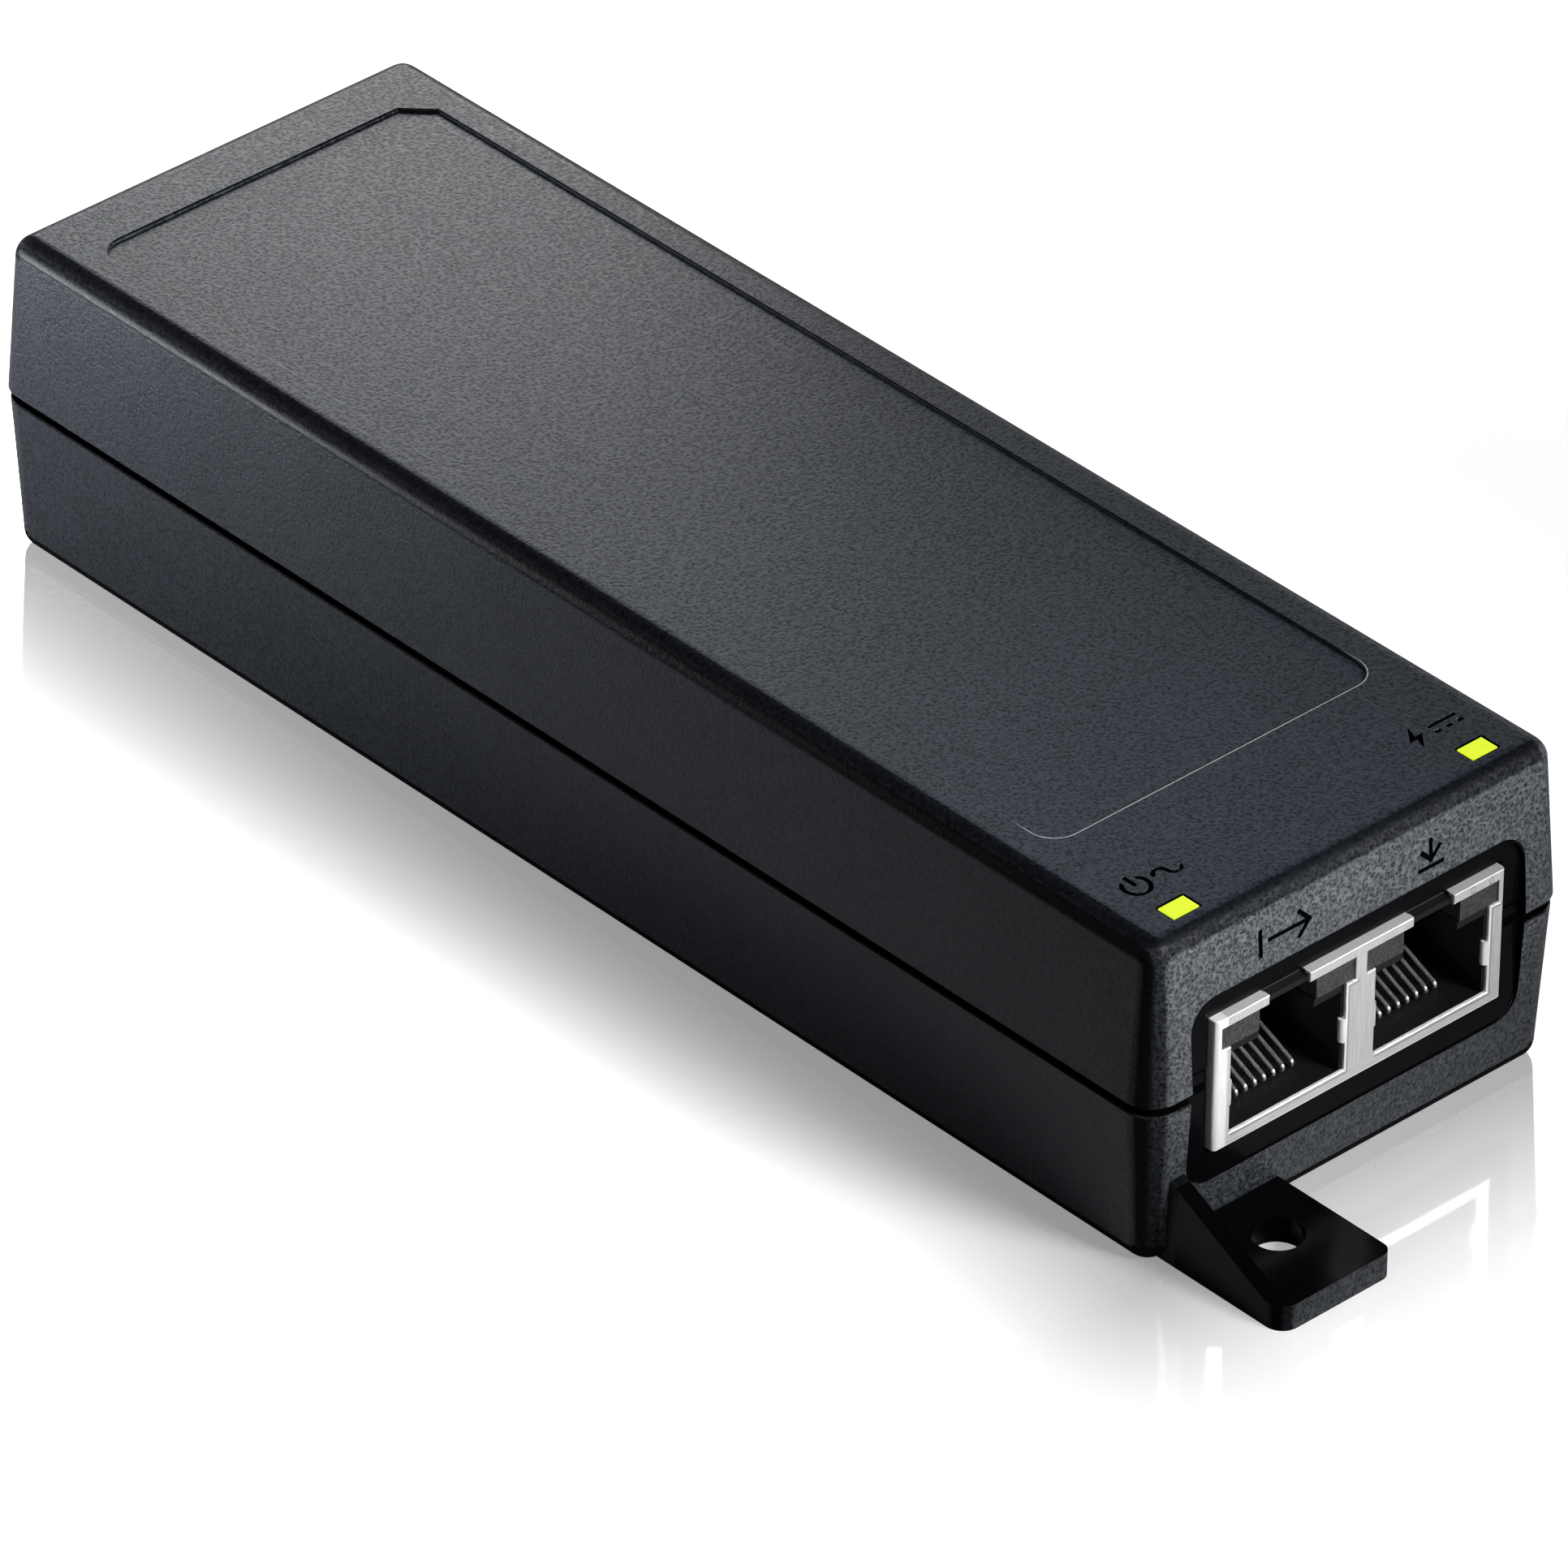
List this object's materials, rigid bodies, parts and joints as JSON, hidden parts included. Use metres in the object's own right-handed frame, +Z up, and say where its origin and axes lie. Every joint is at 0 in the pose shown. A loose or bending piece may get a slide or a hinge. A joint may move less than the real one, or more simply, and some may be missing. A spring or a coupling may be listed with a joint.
{
  "type": "poe injector",
  "caption": "Long dark plastic box with two shielded data ports and status lights at one end, a mains inlet at the other, and a screw ear at opposite corners.",
  "frame": {"origin": "centre of the footprint, on the surface that the case stands on", "axes": "+Z up; +Y along the case towards the mains inlet; the data ports face -Y"},
  "size_m": [0.0456, 0.164, 0.0304],
  "materials": {
    "case_plastic": "finely grained dark grey moulding",
    "socket_plastic": "smooth black",
    "label_film": "satin silver grey film, bare",
    "screw_steel": "blackened zinc",
    "light_window": "lit yellow-green",
    "lamp_lens": "smoky clear",
    "led_body": "white",
    "shield_tin": "bright tin plate",
    "contact_gold": "gold flash",
    "pin_nickel": "nickel plate",
    "board_laminate": "green solder mask",
    "insulation_film": "milky film",
    "capacitor_sleeve": "shrunk sleeve",
    "film_capacitor_case": "yellow box",
    "part_black": "moulded epoxy",
    "disc_lacquer": "blue lacquer",
    "heatsink_aluminium": "sheared plate",
    "ferrite": "fired ferrite",
    "winding_tape": "polyester tape",
    "enamelled_wire": "enamelled copper"
  },
  "bodies": {
    "injector": {"lower_case": "case_plastic", "upper_case": "case_plastic", "jack_housing": "socket_plastic", "out_carrier": "socket_plastic", "in_carrier": "socket_plastic", "inlet_housing": "socket_plastic", "rating_label": "label_film", "case_screws": "screw_steel", "heatsink_screws": "screw_steel", "power_light_pipe": "light_window", "supply_light_pipe": "light_window", "jack_lamps": "lamp_lens", "power_led": "led_body", "supply_led": "led_body", "jack_shield": "shield_tin", "out_leads": "contact_gold", "in_leads": "contact_gold", "live_pin": "pin_nickel", "neutral_pin": "pin_nickel", "earth_pin": "pin_nickel", "main_board": "board_laminate", "insulation_sheet": "insulation_film", "bulk_capacitor": "capacitor_sleeve", "output_capacitor_1": "capacitor_sleeve", "output_capacitor_2": "capacitor_sleeve", "line_capacitor": "film_capacitor_case", "fuse": "part_black", "bridge_rectifier": "part_black", "power_transistor": "part_black", "output_diode": "part_black", "optocoupler": "part_black", "supply_controller": "part_black", "port_controller": "part_black", "data_magnetics": "part_black", "transformer_bobbin": "part_black", "choke_base": "part_black", "varistor": "disc_lacquer", "isolation_capacitor": "disc_lacquer", "primary_heatsink": "heatsink_aluminium", "output_heatsink": "heatsink_aluminium", "transformer_core": "ferrite", "choke_core": "ferrite", "output_inductor": "ferrite", "transformer_winding": "winding_tape", "choke_windings": "enamelled_wire"},
    "out_contacts": {"out_contacts": "contact_gold"},
    "in_contacts": {"in_contacts": "contact_gold"}
  },
  "joints": [
    {"name": "out_contacts_flex", "type": "hinge", "parent": "injector", "child": "out_contacts", "pos_m": [-0.00785, -0.0664, 0.0104], "axis": [-1, 0, 0], "range_deg": [0, 8], "stiffness_Nm_per_rad": 0.4},
    {"name": "in_contacts_flex", "type": "hinge", "parent": "injector", "child": "in_contacts", "pos_m": [0.00785, -0.0664, 0.0104], "axis": [-1, 0, 0], "range_deg": [0, 8], "stiffness_Nm_per_rad": 0.4}
  ]
}
